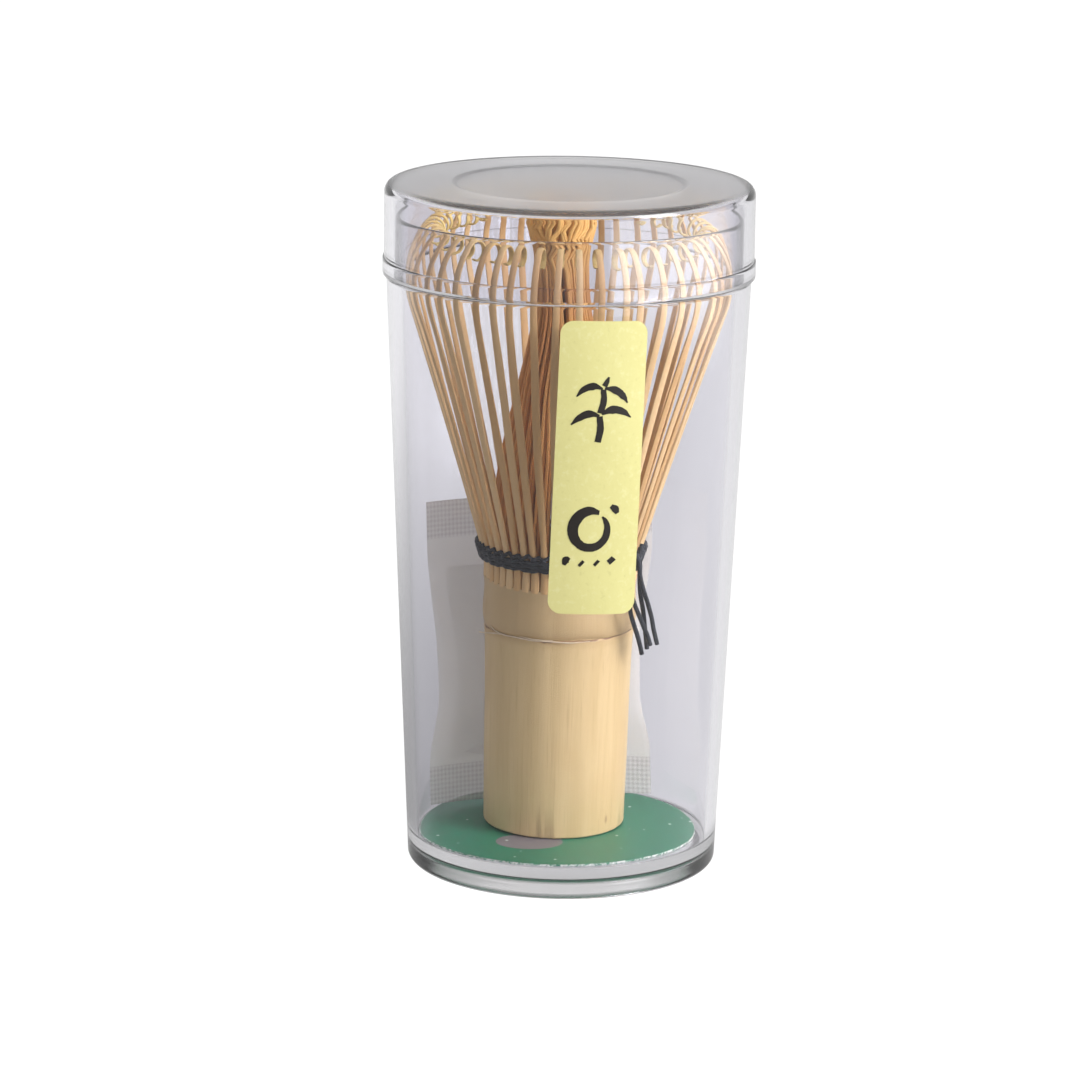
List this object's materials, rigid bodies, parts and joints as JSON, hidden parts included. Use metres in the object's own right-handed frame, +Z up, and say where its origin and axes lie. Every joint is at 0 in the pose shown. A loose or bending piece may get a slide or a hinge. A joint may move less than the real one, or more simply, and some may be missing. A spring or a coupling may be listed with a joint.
{
  "type": "bamboo tea whisk",
  "caption": "Bamboo tea whisk with splayed curled tines and a dark binding thread, standing in a clear round case with a push-on lid, paper label, base card and sachet.",
  "frame": {"origin": "centre of the case's foot ring on the table", "axes": "+Z up along the case's axis; the label faces -Y; +X is to the right of somebody who faces the label"},
  "size_m": [0.0634, 0.0634, 0.1189],
  "materials": {
    "clear_plastic": "clear moulded polystyrene, faint grey-lavender tint, glossy",
    "label_paper": "pale yellow uncoated label paper with black ink marks",
    "card": "green printed card, satin, pale rough cut edge",
    "sachet_film": "off-white breathable paper film, crimped seals",
    "desiccant": "pale granules",
    "bamboo_handle": "polished natural bamboo skin with fine lengthwise fibres",
    "bamboo_outer_tine": "split and shaved bamboo, satin",
    "bamboo_inner_tine": "split and shaved bamboo, darker golden brown",
    "thread": "black waxed cotton thread"
  },
  "bodies": {
    "case": {"case_body": "clear_plastic", "front_label": "label_paper", "base_card": "card", "desiccant_sachet": "sachet_film", "desiccant_fill": "desiccant"},
    "whisk": {"whisk_handle": "bamboo_handle", "outer_tines_1": "bamboo_outer_tine", "outer_tines_2": "bamboo_outer_tine", "outer_tines_3": "bamboo_outer_tine", "outer_tines_4": "bamboo_outer_tine", "outer_tines_5": "bamboo_outer_tine", "outer_tines_6": "bamboo_outer_tine", "outer_tines_7": "bamboo_outer_tine", "outer_tines_8": "bamboo_outer_tine", "inner_tines_1": "bamboo_inner_tine", "inner_tines_2": "bamboo_inner_tine", "inner_tines_3": "bamboo_inner_tine", "inner_tines_4": "bamboo_inner_tine", "inner_tines_5": "bamboo_inner_tine", "inner_tines_6": "bamboo_inner_tine", "inner_tines_7": "bamboo_inner_tine", "inner_tines_8": "bamboo_inner_tine", "binding_thread": "thread", "thread_knot": "thread", "thread_end_front": "thread", "thread_end_rear": "thread"},
    "lid": {"case_lid": "clear_plastic"}
  },
  "joints": [
    {"name": "whisk_lift", "type": "slide", "parent": "case", "child": "whisk", "axis": [0, 0, 1], "range_m": [0, 0.11]},
    {"name": "lid_lift", "type": "slide", "parent": "whisk", "child": "lid", "axis": [0, 0, 1], "range_m": [0, 0.02]}
  ]
}
